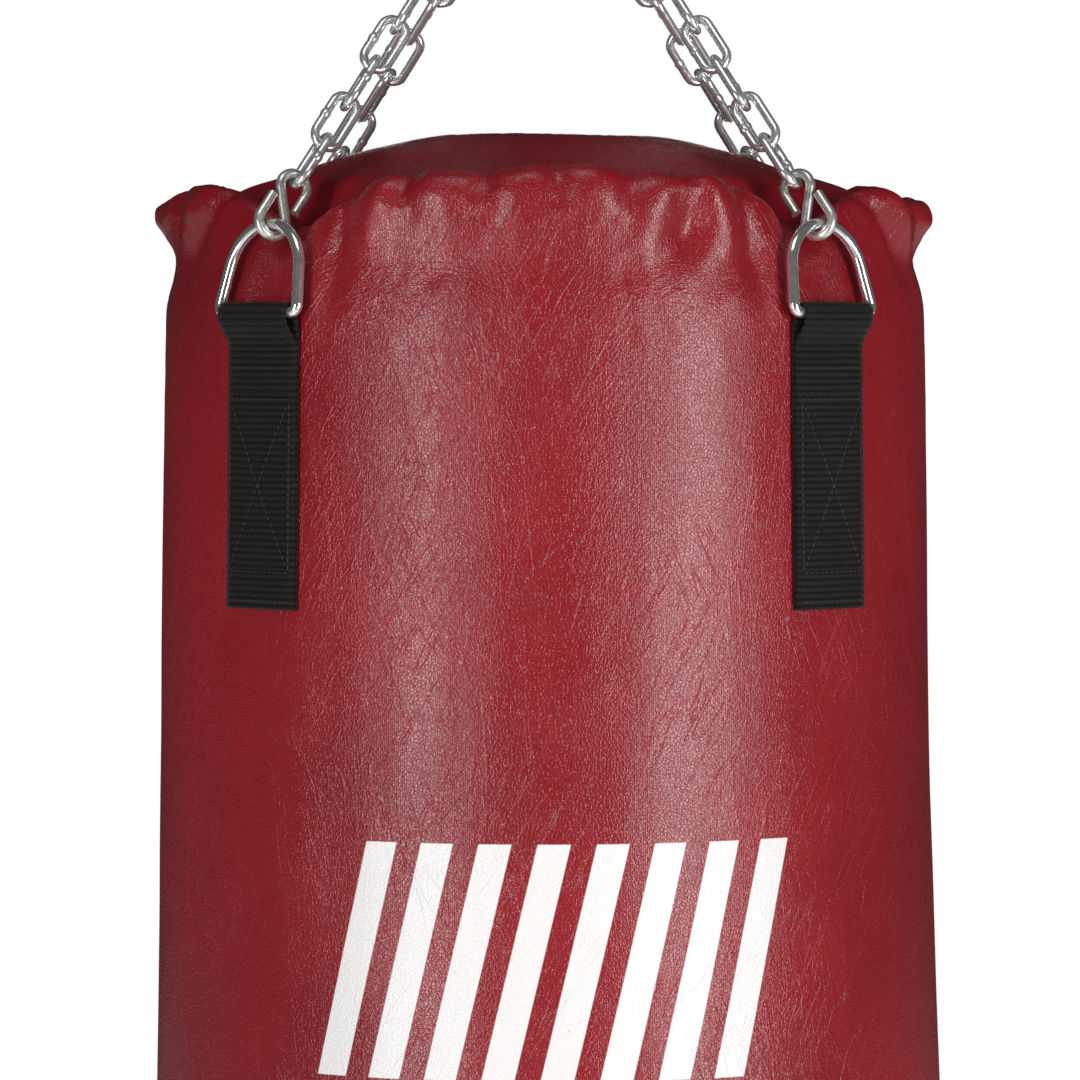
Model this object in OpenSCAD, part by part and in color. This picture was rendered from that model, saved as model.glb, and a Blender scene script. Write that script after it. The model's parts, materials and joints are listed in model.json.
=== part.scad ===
// Hanging heavy punching bag: swivel, master ring, four chains, S-hooks, D-rings, webbing straps and bag.
// Millimetres, +Z up, origin at the centre of the hanging eye, front towards -Y.

/* [Bag] */
// Radius of the bag over most of its height
bag_r = 175.5; // [160:0.5:190]
// Radius of the bag at the level of the D-ring bars
neck_r = 171; // [155:0.5:185]
// Height of the bag from its base to the top of the rim
bag_h = 1105; // [900:5:1300]
// Thickness of the leatherette cover
cover_t = 1.5; // [1:0.1:2.5]
// Height of the rim above the D-ring bars
rim_h = 58; // [50:1:64]
// Height of the middle of the domed top above the D-ring bars
dome_h = 80; // [74:1:88]
// Radius of curvature of the domed top
dome_r = 475; // [440:5:520]
// Thickness of the foam wrap under the cover
foam_t = 14; // [8:1:20]

/* [Straps and D-rings] */
// Width of the webbing
web_w = 42.2; // [38:0.2:42.2]
// Thickness of one layer of webbing
web_t = 1.6; // [1.2:0.1:2]
// Length of the strap below the D-ring bar
strap_l = 128; // [110:1:150]
// Wire radius of a D-ring
ring_wire_r = 2.5; // [2:0.1:3]
// Lean of a D-ring towards the bag in degrees
ring_lean = 12; // [10:1:14]

/* [S-hooks and chains] */
// Wire radius of an S-hook
hook_wire_r = 2.15; // [1.8:0.05:2.3]
// Radius of the middle line of an S-hook's two bends
hook_bend_r = 6.5; // [6.4:0.1:6.8]
// Turn of an S-hook out of the upright plane through the bag's axis
hook_turn = 20; // [0:1:25]
// Number of links in each chain
links = 9; // [7:2:11]
// Wire radius of a chain link
link_wire_r = 2; // [1.8:0.05:2.1]
// Outer length of a chain link
link_l = 32; // [31:0.5:33]
// Outer width of a chain link
link_w = 15.6; // [15.4:0.1:16.2]

/* [Hanging hardware] */
// Radius of the hole in the hanging eye
eye_hole_r = 10; // [8:0.5:11]
// Depth of the clevis pin below the hanging eye
pin_drop = 72; // [70:1:80]
// Depth of the master ring's bottom bar below the hanging eye
bar_drop = 128; // [124:1:136]
// Wire radius of the master ring
master_wire_r = 3.25; // [3:0.05:3.4]

/* [Zip] */
// Half the length of the zip, as an angle about the centre of the dome
zip_half = 9; // [6:0.5:9]
// Turn of the zip from the middle of the dome towards the back, in degrees
zip_tilt = 10.3; // [9:0.1:11]
// Pitch of the zip teeth in degrees
tooth_step = 0.36; // [0.3:0.02:0.5]

/* [Hidden] */

$fn = 48;
// Clearance between wires that hang in each other
gap = 0.05;
// Lap of the straight wires over the bends in the master ring, the D-rings and the S-hooks
ring_lap = 0.3;

// Corners of the bag: [side, depth], side -1 left or 1 right, depth -1 front or 1 rear
FRONT_LEFT = [-1, -1];
FRONT_RIGHT = [1, -1];
REAR_LEFT = [-1, 1];
REAR_RIGHT = [1, 1];

// Where each chain sits on the master ring's bar, from its middle
front_seat = 15;
rear_seat = 6.5;

// D-ring: half width, corner radius, top radius and height, all of its middle line
dring_half_w = 24.4;
dring_corner_r = 3.2;
dring_top_r = 22;
dring_h = 39;
// Radius at which the D-ring bar lies: outside the bag by one webbing loop
loop_in_r = ring_wire_r + gap;
loop_out_r = loop_in_r + web_t;
web_clear = 0.3;
bar_r = neck_r + web_clear + loop_out_r;

// Lengths along the line of pull, from the master ring's bar to the top wire of the D-ring. A wire that
// crosses another at a slant, or may twist about the line of pull, needs more room by the slant's cosine
link_run = link_l - 2 * link_wire_r;
pitch_max = link_l - 4 * link_wire_r - gap;
seat_slant = 28;
hook_twist = 8;
seat_rise = (master_wire_r + link_wire_r + 4 * gap) / cos(seat_slant);
hook_half = 10;
hook_top_seat = hook_half + hook_bend_r - (hook_wire_r + link_wire_r + 2 * gap) / cos(2 * hook_twist);
hook_low_seat = hook_half + hook_bend_r - (hook_wire_r + ring_wire_r + 2 * gap) / cos(hook_turn + hook_twist);
hook_run = hook_top_seat + hook_low_seat;
pull_l = (links - 1) * pitch_max + link_run - seat_rise + hook_run;

// Top wire of the D-rings, and the depth that taut rear chains give it
top_wire_r = bar_r - dring_h * sin(ring_lean);
top_wire_x = top_wire_r * cos(45);
rear_reach = norm([top_wire_x - rear_seat, top_wire_x]);
top_wire_z = -bar_drop - sqrt(pull_l * pull_l - rear_reach * rear_reach);
dring_z = top_wire_z - dring_h * cos(ring_lean);

// Levels of the bag
rim_z = dring_z + rim_h;
base_z = rim_z - bag_h;
apex_z = dring_z + dome_h;
dome_z = apex_z - dome_r;
taper_z = dring_z - 357;
crease_r = 158;
dent_r = 158;
dent_lean = 16.4;
dent_round = 70;
groove_r = 15.5;
groove_depth = 10.3;
rim_roll_r = 9;
base_round = 12;
piping_r = 2.2;
panel_t = 2;

// Foam, sack and filling
inner_gap = 0.4;
sack_t = 0.8;
fill_top_z = dring_z - 6;
fill_dome_r = 128;

// Swivel
boss_top = -23;
boss_t = 10;
shank_r = 5;
race_r = 11;
ball_track_r = 8.2;
ball_r = 2;
ball_count = 12;
race_t = 2.6;
race_gap = 3;
race_z = boss_top - boss_t;
ball_z = race_z - race_t - race_gap / 2;
nut_z = race_z - 2 * race_t - race_gap;
nut_h = 7;
clevis_r = 4;
ear_gap = 5.5;
ear_t = 7;

function angle_of(v) = atan2(v[1], v[0]);
function turned(a, b, a_side, b_side) =
  angle_of([b[0] - a[0], b[1] - a[1]]) - 90 * a_side
  + asin((a[2] - a_side * b_side * b[2]) / norm([b[0] - a[0], b[1] - a[1]])) * a_side;

// Straight wire between two points of the XY plane. With a lap it runs a little over the bends at its
// ends, and is thicker than them by just enough to hold the lapped stretch of a bend
module straight(p, q, wire, lap = 0) {
  run = norm(q - p);
  translate([p[0], p[1], 0])
    rotate([0, 0, angle_of(q - p) - 90])
      rotate([-90, 0, 0])
        translate([0, 0, -lap])
          cylinder(r = wire + lap / 30, h = run + 2 * lap);
}

// Bent wire in the XY plane round a centre, from one angle through a turn
module bend(centre, radius, from, turn, wire) {
  translate([centre[0], centre[1], 0])
    rotate([0, 0, from])
      rotate_extrude(angle = turn)
        translate([radius, 0])
          circle(r = wire);
}

// Closed wire pulled round circles [x, y, r], which are given counter-clockwise
module wire_loop(circles, wire, lap = 0) {
  n = len(circles);
  for (i = [0 : n - 1]) {
    here = circles[i];
    after = circles[(i + 1) % n];
    before = circles[(i + n - 1) % n];
    leave = turned(here, after, 1, 1);
    arrive = turned(before, here, 1, 1);
    turn = (leave - arrive + 720) % 360;
    bend(here, here[2], arrive, turn, wire);
    p = [here[0], here[1]] + here[2] * [cos(leave), sin(leave)];
    q = [after[0], after[1]] + after[2] * [cos(leave), sin(leave)];
    straight(p, q, wire, lap);
  }
}

// Angle of a corner's radial direction
function corner_angle(corner) = atan2(corner[1], corner[0]);

// Puts a shape made in the XZ plane of a corner, X outwards, at that corner
module at_corner(corner) {
  rotate([0, 0, corner_angle(corner)]) children();
}

// Seat of a corner's chain on the bar, and the top wire of its D-ring
function seat_of(corner) = [corner[0] * (corner[1] < 0 ? front_seat : rear_seat), 0, -bar_drop];
function hook_foot(corner) = [corner[0] * top_wire_x, corner[1] * top_wire_x, top_wire_z];
function unit(v) = v / norm(v);
function cross3(a, b) = [a[1] * b[2] - a[2] * b[1], a[2] * b[0] - a[0] * b[2], a[0] * b[1] - a[1] * b[0]];

// Places children made along +Z with their width along +X: z goes to dir, x to side, y to the third axis
module oriented(at, side, dir) {
  third = cross3(dir, side);
  multmatrix([
    [side[0], third[0], dir[0], at[0]],
    [side[1], third[1], dir[1], at[1]],
    [side[2], third[2], dir[2], at[2]],
    [0, 0, 0, 1]
  ]) children();
}

// ---- Swivel ----

module swivel_eye() {
  color("silver") {
    difference() {
      union() {
        rotate([90, 0, 0])
          rotate_extrude()
            polygon([[0, -4], [0, 4], [12, 5], [15.5, 5], [18, 3], [18, -3], [15.5, -5], [12, -5]]);
        translate([0, 0, boss_top + 0.2]) cylinder(r = 9, h = 3);
        translate([0, 0, boss_top + 2]) cylinder(r = 6.5, h = 8);
        translate([0, 0, nut_z - nut_h - 3]) cylinder(r = shank_r, h = boss_top + 2 - nut_z + nut_h + 3);
      }
      rotate([90, 0, 0]) cylinder(r = eye_hole_r, h = 30, center = true);
      translate([0, 0, nut_z - nut_h * 0.6]) rotate([0, 90, 0]) cylinder(r = 1.05, h = 30, center = true);
    }
  }
}

module swivel_yoke() {
  color("silver") {
    difference() {
      union() {
        translate([0, 0, race_z]) cylinder(r = 15, h = boss_t);
        translate([-9, 0, 0])
          rotate([90, 0, 90])
            linear_extrude(height = 18)
              polygon([
                [-14, race_z + 8], [14, race_z + 8], [19.5, race_z + 3], [19.5, race_z - 17],
                [ear_gap + ear_t, 12 - pin_drop], [ear_gap + ear_t, -pin_drop], [-ear_gap - ear_t, -pin_drop],
                [-ear_gap - ear_t, 12 - pin_drop], [-19.5, race_z - 17], [-19.5, race_z + 3]
              ]);
        translate([0, 0, -pin_drop])
          rotate([90, 0, 0])
            cylinder(r = 10.5, h = 2 * (ear_gap + ear_t), center = true);
      }
      translate([0, 0, race_z - 1]) cylinder(r = shank_r + 0.06, h = boss_t + 2);
      translate([-15, 0, 0])
        rotate([90, 0, 90])
          linear_extrude(height = 30)
            polygon([
              [-13, race_z], [13, race_z], [13, race_z - 17], [ear_gap, 10 - pin_drop], [ear_gap, -pin_drop - 20],
              [-ear_gap, -pin_drop - 20], [-ear_gap, 10 - pin_drop], [-13, race_z - 17]
            ]);
      translate([0, 0, -pin_drop]) rotate([90, 0, 0]) cylinder(r = clevis_r + 0.06, h = 60, center = true);
    }
  }
}

// One race of the thrust bearing, with its ball groove on the side given
module race(z, groove_z) {
  difference() {
    translate([0, 0, z]) cylinder(r = race_r, h = race_t);
    translate([0, 0, z - 1]) cylinder(r = shank_r + 0.3, h = race_t + 2);
    translate([0, 0, groove_z]) rotate_extrude() translate([ball_track_r, 0]) circle(r = ball_r + 0.1);
  }
}

module swivel_upper_race() {
  color("gainsboro") race(race_z - race_t, ball_z);
}

module swivel_lower_race() {
  color("gainsboro") race(nut_z, ball_z);
}

module swivel_balls() {
  color("white")
    for (i = [0 : ball_count - 1])
      rotate([0, 0, i * 360 / ball_count])
        translate([ball_track_r, 0, ball_z])
          sphere(r = ball_r);
}

module swivel_nut() {
  color("silver")
    difference() {
      translate([0, 0, nut_z - nut_h]) cylinder(r = 9.8, h = nut_h, $fn = 6);
      translate([0, 0, nut_z - nut_h - 1]) cylinder(r = shank_r + 0.02, h = nut_h + 2);
      translate([0, 0, nut_z - nut_h * 0.6]) rotate([0, 90, 0]) cylinder(r = 1.05, h = 30, center = true);
    }
}

module swivel_lock_pin() {
  color("dimgray") translate([0, 0, nut_z - nut_h * 0.6]) rotate([0, 90, 0]) cylinder(r = 1, h = 20, center = true);
}

module clevis_pin() {
  reach = ear_gap + ear_t;
  color("silver")
    difference() {
      translate([0, 0, -pin_drop])
        rotate([90, 0, 0])
          union() {
            translate([0, 0, -reach - 5]) cylinder(r = clevis_r, h = 2 * reach + 5 + 0.5);
            translate([0, 0, reach + 0.2]) cylinder(r = 6.5, h = 3);
          }
      translate([0, reach + 2.4, -pin_drop]) rotate([0, 90, 0]) cylinder(r = 1.1, h = 30, center = true);
    }
}

module clevis_split_pin() {
  y = ear_gap + ear_t + 2.4;
  color("dimgray")
    translate([0, y, -pin_drop]) {
      rotate([0, 90, 0]) cylinder(r = 1, h = 12, center = true);
      translate([8.2, 0, 0]) rotate([90, 0, 0]) rotate_extrude() translate([2.4, 0]) circle(r = 0.8);
    }
}

// ---- Master ring and chains ----

module master_ring() {
  drop = bar_drop - pin_drop;
  top_r = clevis_r + master_wire_r + gap;
  color("silver")
    translate([0, 0, -pin_drop])
      rotate([90, 0, 0])
        wire_loop([[0, 0, top_r], [-20, 8 - drop, 8], [20, 8 - drop, 8]], master_wire_r, ring_lap);
}

// Width direction of a corner's S-hook, across its line of pull
function hook_side(corner) = let(
  up = unit(seat_of(corner) - hook_foot(corner)),
  outward = unit(cross3([-corner[1], corner[0], 0] * sqrt(0.5), up)),
  turn = -corner[0] * corner[1] * hook_turn
) cos(turn) * outward + sin(turn) * cross3(up, outward);

// The top link stands across the bar and the last one across the S-hook, so the links between turn evenly
module chain(corner) {
  seat = seat_of(corner);
  foot = hook_foot(corner);
  dir = unit(foot - seat);
  side = unit(cross3(dir, [1, 0, 0]));
  last_side = cross3(dir, hook_side(corner));
  last_angle = atan2(last_side * cross3(dir, side), last_side * side);
  twist = (last_angle - 90 * (links - 1) + 3690) % 180 - 90;
  pitch = (norm(foot - seat) - hook_run + seat_rise - link_run) / (links - 1);
  half_w = link_w / 2 - link_wire_r;
  color("silver")
    for (i = [0 : links - 1])
      oriented(seat + dir * (i * pitch - seat_rise + half_w), side, dir)
        rotate([0, 0, i % 2 * 90 + twist * i / (links - 1)])
          rotate([90, 0, 0])
            wire_loop([[0, 0, half_w], [0, link_run - 2 * half_w, half_w]], link_wire_r);
}

module chain_front_left() {
  chain(FRONT_LEFT);
}

module chain_front_right() {
  chain(FRONT_RIGHT);
}

module chain_rear_left() {
  chain(REAR_LEFT);
}

module chain_rear_right() {
  chain(REAR_RIGHT);
}

// ---- S-hooks ----

// Half of an S-hook in the XY plane: the middle of its long leg, its bend and its short leg
module hook_half_wire(short_leg) {
  lean = asin(hook_bend_r / hook_half);
  tangent = [hook_bend_r * cos(lean), hook_half - hook_bend_r * sin(lean)];
  straight([0, 0], tangent, hook_wire_r, ring_lap);
  bend([0, hook_half], hook_bend_r, -lean, 180 + lean, hook_wire_r);
  straight([-hook_bend_r, hook_half], [-hook_bend_r, hook_half - short_leg], hook_wire_r, ring_lap);
}

// S-hook made along +Y, its lower open end towards +X and its upper one towards -X
module hook_wire() {
  hook_half_wire(9.5);
  rotate([0, 0, 180]) hook_half_wire(11);
}

module s_hook(corner) {
  seat = seat_of(corner);
  foot = hook_foot(corner);
  up = unit(seat - foot);
  color("darkgray")
    oriented(foot + up * hook_low_seat, hook_side(corner), up)
      rotate([90, 0, 0])
        hook_wire();
}

module s_hook_front_left() {
  s_hook(FRONT_LEFT);
}

module s_hook_front_right() {
  s_hook(FRONT_RIGHT);
}

module s_hook_rear_left() {
  s_hook(REAR_LEFT);
}

module s_hook_rear_right() {
  s_hook(REAR_RIGHT);
}

// ---- D-rings ----

module d_ring(corner) {
  corner_x = dring_half_w - dring_corner_r;
  color("silver")
    at_corner(corner)
      translate([bar_r, 0, dring_z])
        rotate([0, -ring_lean, 0])
          rotate([90, 0, 90])
            wire_loop(
              [
                [-corner_x, dring_corner_r, dring_corner_r], [corner_x, dring_corner_r, dring_corner_r],
                [0, dring_h - dring_top_r, dring_top_r]
              ],
              ring_wire_r,
              ring_lap
            );
}

module d_ring_front_left() {
  d_ring(FRONT_LEFT);
}

module d_ring_front_right() {
  d_ring(FRONT_RIGHT);
}

module d_ring_rear_left() {
  d_ring(REAR_LEFT);
}

module d_ring_rear_right() {
  d_ring(REAR_RIGHT);
}

// ---- Webbing straps ----

function side_r(z) = z > dring_z ? neck_r : z < taper_z ? bag_r
  : neck_r + (bag_r - neck_r) * (dring_z - z) / (dring_z - taper_z);

// Upright profile of the two sewn legs below the loop, as [radius, height]
module strap_legs_profile() {
  top = dring_z - 4;
  merge = dring_z - 16;
  low = dring_z - strap_l;
  back = web_clear;
  front = web_clear + 2 * web_t;
  polygon([
    [side_r(low) + back, low], [side_r(low) + front, low], [side_r(merge) + front, merge],
    [bar_r + loop_out_r - 0.6, top], [side_r(top) + back, top]
  ]);
}

module strap(corner) {
  half_angle = asin(web_w / 2 / neck_r);
  color([0.12, 0.12, 0.11])
    at_corner(corner)
      difference() {
        union() {
          translate([bar_r, 0, dring_z]) rotate([90, 0, 0]) cylinder(r = loop_out_r, h = web_w, center = true);
          translate([bar_r - loop_out_r, -web_w / 2, dring_z - 5]) cube([2 * loop_out_r - 0.6, web_w, 5]);
          rotate([0, 0, -half_angle]) rotate_extrude(angle = 2 * half_angle) strap_legs_profile();
        }
        translate([bar_r, 0, dring_z]) rotate([90, 0, 0]) cylinder(r = loop_in_r, h = 2 * web_w, center = true);
      }
}

module strap_front_left() {
  strap(FRONT_LEFT);
}

module strap_front_right() {
  strap(FRONT_RIGHT);
}

module strap_rear_left() {
  strap(REAR_LEFT);
}

module strap_rear_right() {
  strap(REAR_RIGHT);
}

// Backing patch sewn inside the cover behind a strap
module patch(corner) {
  low = dring_z - strap_l - 14;
  top = dring_z - 8;
  half_angle = 11;
  in_r = cover_t + inner_gap;
  color("black")
    at_corner(corner)
      rotate([0, 0, -half_angle])
        rotate_extrude(angle = 2 * half_angle)
          polygon([
            [side_r(low) - in_r, low], [side_r(top) - in_r, top],
            [side_r(top) - in_r - 1, top], [side_r(low) - in_r - 1, low]
          ]);
}

module patch_front_left() {
  patch(FRONT_LEFT);
}

module patch_front_right() {
  patch(FRONT_RIGHT);
}

module patch_rear_left() {
  patch(REAR_LEFT);
}

module patch_rear_right() {
  patch(REAR_RIGHT);
}

// ---- Cover ----

// Outline of the bag inside its outer surface by an inset, as a polygon of [radius, height]
module bag_outline(inset) {
  roll = rim_roll_r - inset;
  roll_x = neck_r - rim_roll_r;
  roll_z = rim_z - rim_roll_r;
  round = base_round - inset;
  dome_edge = crease_r - 6;
  polygon(concat(
    [[0, base_z + inset]],
    [for (a = [-90 : 15 : 0]) [bag_r - base_round + round * cos(a), base_z + base_round + round * sin(a)]],
    [[bag_r - inset, taper_z], [neck_r - inset, dring_z]],
    [for (a = [0 : 15 : 120]) [roll_x + roll * cos(a), roll_z + roll * sin(a)]],
    [for (x = [dome_edge : -8 : 0]) [x, dome_z + sqrt((dome_r - inset) * (dome_r - inset) - x * x)]],
    [[0, dome_z + dome_r - inset]]
  ));
}

// Dents in the crown, grown by an inset: a broad one behind each D-ring and a groove along each S-hook
module crown_dents(inset) {
  for (corner = [FRONT_LEFT, FRONT_RIGHT, REAR_LEFT, REAR_RIGHT]) {
    up = unit(seat_of(corner) - hook_foot(corner));
    outward = hook_side(corner);
    at_corner(corner)
      translate([dent_r, 0, top_wire_z])
        rotate([0, -dent_lean, 0])
          translate([dent_round, 0, -50])
            cylinder(r = dent_round + inset, h = 140, $fn = 96);
    oriented(hook_foot(corner) - up * 10 + outward * (groove_r - groove_depth), outward, up)
      cylinder(r = groove_r + inset, h = 110);
  }
}

module crown_solid(inset) {
  difference() {
    rotate_extrude($fn = 96) bag_outline(inset);
    crown_dents(inset);
  }
}

module cover_shell() {
  difference() {
    crown_solid(0);
    crown_solid(cover_t);
  }
}

module cover_side() {
  color([0.6, 0.11, 0.16])
    difference() {
      cover_shell();
      translate([0, 0, dring_z]) cylinder(r = crease_r, h = 200, $fn = 96);
      translate([0, 0, base_z - 1]) cylinder(r = bag_r - base_round + 0.2, h = 10, $fn = 96);
    }
}

module top_panel() {
  color([0.55, 0.1, 0.15])
    difference() {
      intersection() {
        cover_shell();
        translate([0, 0, dring_z]) cylinder(r = crease_r - 0.1, h = 200, $fn = 96);
      }
      dome_bar(-zip_half, zip_half, -4, 3, 8);
    }
}

module base_panel() {
  color([0.5, 0.09, 0.13])
    translate([0, 0, base_z])
      cylinder(r = bag_r - base_round, h = panel_t - 0.6, $fn = 96);
}

// Piped seam round the bottom edge, which sits on the middle of its rounding
module base_piping() {
  reach = base_round + piping_r + gap;
  color([0.1, 0.1, 0.1])
    translate([0, 0, base_z + base_round - reach * sin(45)])
      rotate_extrude($fn = 96)
        translate([bag_r - base_round + reach * cos(45), 0])
          circle(r = piping_r);
}

module back_seam_tape() {
  low = base_z + base_round + 8;
  half_angle = 4;
  color([0.5, 0.09, 0.13])
    rotate([0, 0, 90 - half_angle])
      rotate_extrude(angle = 2 * half_angle)
        polygon([
          [bag_r + gap, low], [bag_r + 1 + gap, low], [bag_r + 1 + gap, taper_z],
          [neck_r + 1 + gap, dring_z], [neck_r + 1 + gap, dring_z + 40], [neck_r + gap, dring_z + 40],
          [neck_r + gap, dring_z], [bag_r + gap, taper_z]
        ]);
}

// ---- Zip ----

// A bar that follows the dome under the zip's line, from one angle to another
module dome_bar(from, to, low, width, height) {
  translate([0, 0, dome_z])
    rotate([90 - zip_tilt, 0, 0])
      rotate([0, 0, 90 - to])
        rotate_extrude(angle = to - from, $fn = 96)
          translate([dome_r + low, -width / 2])
            square([height, width]);
}

// Places children made at the top of the dome at an angle along the zip
module on_dome(angle) {
  translate([0, 0, dome_z])
    rotate([-zip_tilt, 0, 0])
      rotate([0, angle, 0])
        translate([0, 0, dome_r])
          children();
}

module zip_tape() {
  color([0.08, 0.08, 0.08])
    difference() {
      dome_bar(-zip_half - 1, zip_half + 1, 0.3, 30, 0.8);
      dome_bar(-zip_half, zip_half, -1, 3, 4);
    }
}

module zip_teeth() {
  color([0.15, 0.15, 0.15])
    for (a = [-zip_half + 0.6 : tooth_step : zip_half - 0.6])
      on_dome(a)
        translate([-0.9, -2.5, 1.25])
          cube([1.8, 5, 1.5]);
}

module zip_stops() {
  color("silver")
    for (side = [-1, 1])
      on_dome(side * zip_half)
        translate([-1.5, -3.5, 1.2])
          cube([3, 7, 2.2]);
}

// Slider near the left end of the zip: a top plate over the teeth, side flanges and a bridge for the tab
slider_angle = -zip_half + 2.2;
bridge_z = 6.6;

module zip_slider() {
  color("silver")
    on_dome(slider_angle)
      difference() {
        union() {
          translate([-7, -5.5, 1.6]) cube([14, 11, 2.9]);
          translate([-2.5, -1.6, 4]) cube([5, 3.2, 4.2]);
        }
        translate([-10, -3, 1]) cube([20, 6, 2.3]);
        translate([0, 0, bridge_z]) rotate([90, 0, 0]) cylinder(r = 1, h = 20, center = true);
      }
}

module zip_pull() {
  color("silver")
    on_dome(slider_angle)
      translate([0, 0, bridge_z]) {
        rotate([90, 0, 0]) cylinder(r = 0.95, h = 7, center = true);
        for (side = [-1, 1])
          translate([0, side * 3 - 1, -0.9]) cube([6, 2, 1.8]);
        difference() {
          translate([4, -4.5, -0.9]) cube([26, 9, 1.8]);
          translate([25, 0, -2]) cylinder(r = 2.2, h = 4);
        }
      }
}

// ---- Inside the bag ----

// Foam sheet wrapped round the filling, from the base to just below the straps' bars
module foam_wrap() {
  out = cover_t + inner_gap + 1 + inner_gap;
  low = base_z + panel_t + 8;
  color("ivory")
    rotate_extrude($fn = 96)
      polygon([
        [side_r(low) - out, low], [side_r(taper_z) - out, taper_z], [neck_r - out, fill_top_z],
        [neck_r - out - foam_t, fill_top_z], [side_r(taper_z) - out - foam_t, taper_z],
        [side_r(low) - out - foam_t, low]
      ]);
}

// Outline of the packed filling, as a polygon of [radius, height], grown by a margin
module filling_outline(grow) {
  out = cover_t + 1 + 3 * inner_gap + foam_t + sack_t + inner_gap;
  low = base_z + panel_t + 1.2 + sack_t;
  low_r = bag_r - base_round - 6;
  polygon([
    [0, low - grow], [low_r - 4 + grow, low - grow], [side_r(low) - out + grow, low + 12],
    [side_r(taper_z) - out + grow, taper_z], [neck_r - out + grow, fill_top_z + grow],
    [fill_dome_r + grow, fill_top_z + 30 + grow], [0, apex_z - 8 + grow]
  ]);
}

module inner_sack() {
  color("white")
    difference() {
      rotate_extrude($fn = 96) filling_outline(sack_t);
      rotate_extrude($fn = 96) filling_outline(0);
    }
}

module textile_filling() {
  color("slategray") rotate_extrude($fn = 96) filling_outline(-0.05);
}

swivel_eye();
swivel_yoke();
swivel_upper_race();
swivel_lower_race();
swivel_balls();
swivel_nut();
swivel_lock_pin();
clevis_pin();
clevis_split_pin();
master_ring();
chain_front_left();
chain_front_right();
chain_rear_left();
chain_rear_right();
s_hook_front_left();
s_hook_front_right();
s_hook_rear_left();
s_hook_rear_right();
d_ring_front_left();
d_ring_front_right();
d_ring_rear_left();
d_ring_rear_right();
strap_front_left();
strap_front_right();
strap_rear_left();
strap_rear_right();
patch_front_left();
patch_front_right();
patch_rear_left();
patch_rear_right();
cover_side();
top_panel();
base_panel();
base_piping();
back_seam_tape();
zip_tape();
zip_teeth();
zip_stops();
zip_slider();
zip_pull();
foam_wrap();
inner_sack();
textile_filling();
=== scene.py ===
import json
import math
import random

import bpy
import numpy as np
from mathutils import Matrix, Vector, noise


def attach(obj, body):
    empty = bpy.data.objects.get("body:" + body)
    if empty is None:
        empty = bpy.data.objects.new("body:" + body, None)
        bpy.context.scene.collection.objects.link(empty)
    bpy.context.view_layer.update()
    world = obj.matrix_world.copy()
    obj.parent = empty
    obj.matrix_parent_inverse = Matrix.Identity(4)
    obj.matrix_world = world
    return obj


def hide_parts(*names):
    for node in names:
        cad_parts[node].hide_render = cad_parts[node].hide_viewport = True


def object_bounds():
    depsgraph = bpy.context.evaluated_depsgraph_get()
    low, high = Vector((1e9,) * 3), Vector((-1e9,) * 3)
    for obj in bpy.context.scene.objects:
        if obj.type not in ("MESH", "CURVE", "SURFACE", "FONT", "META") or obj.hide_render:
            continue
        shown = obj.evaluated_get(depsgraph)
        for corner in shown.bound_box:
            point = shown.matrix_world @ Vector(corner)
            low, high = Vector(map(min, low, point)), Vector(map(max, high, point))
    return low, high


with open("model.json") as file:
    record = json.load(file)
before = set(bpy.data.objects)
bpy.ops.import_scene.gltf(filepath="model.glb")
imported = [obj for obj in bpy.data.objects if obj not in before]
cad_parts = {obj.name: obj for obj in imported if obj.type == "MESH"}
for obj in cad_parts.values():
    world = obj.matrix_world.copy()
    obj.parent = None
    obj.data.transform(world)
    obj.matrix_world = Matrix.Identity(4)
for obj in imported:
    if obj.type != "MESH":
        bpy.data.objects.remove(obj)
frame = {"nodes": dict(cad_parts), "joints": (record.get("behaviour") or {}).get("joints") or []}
cad_low, cad_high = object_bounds()

MM = 0.001
TAU = 2 * math.pi
CORNERS = {
    "front_left": (-1, -1),
    "front_right": (1, -1),
    "rear_left": (-1, 1),
    "rear_right": (1, 1),
}

# ---- Sizes repeated from part.scad, in millimetres and degrees ----
BAG_R, NECK_R, TAPER_DROP, BASE_ROUND = 175.5, 171.0, 357.0, 12.0
DOME_R, DOME_H, RIM_H, CREASE_R, ZIP_TILT = 475.0, 80.0, 58.0, 158.0, 10.3
GAP = 0.05
WEB_W, WEB_T, STRAP_L = 42.2, 1.6, 128.0
RIB_PITCH, RIB_DEPTH, LOOP_RIBS = 2.8, 0.42, 4
RING_WIRE_R, RING_LEAN = 2.5, 12.0
LINKS, LINK_WIRE_R, LINK_L, LINK_W = 9, 2.0, 32.0, 15.6
MASTER_WIRE_R, SEAT_SLANT = 3.25, 28
SEAT_RISE = (MASTER_WIRE_R + LINK_WIRE_R + 4 * GAP) / math.cos(math.radians(SEAT_SLANT))
HOOK_WIRE_R, HOOK_BEND_R, HOOK_HALF, HOOK_TURN, HOOK_TWIST = 2.15, 6.5, 10, 20.0, 8
HOOK_TOP = (HOOK_WIRE_R + LINK_WIRE_R + 2 * GAP) / math.cos(math.radians(2 * HOOK_TWIST))
HOOK_LOW = (HOOK_WIRE_R + RING_WIRE_R + 2 * GAP) / math.cos(math.radians(HOOK_TURN + HOOK_TWIST))
HOOK_RUN = 2 * HOOK_HALF + 2 * HOOK_BEND_R - HOOK_TOP - HOOK_LOW

joint_at = {j["name"]: j for j in frame["joints"]}


def point_of(joint):
    """A joint's place in the frame, in millimetres."""
    return Vector(joint_at[joint]["pos_m"]) / MM


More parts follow.
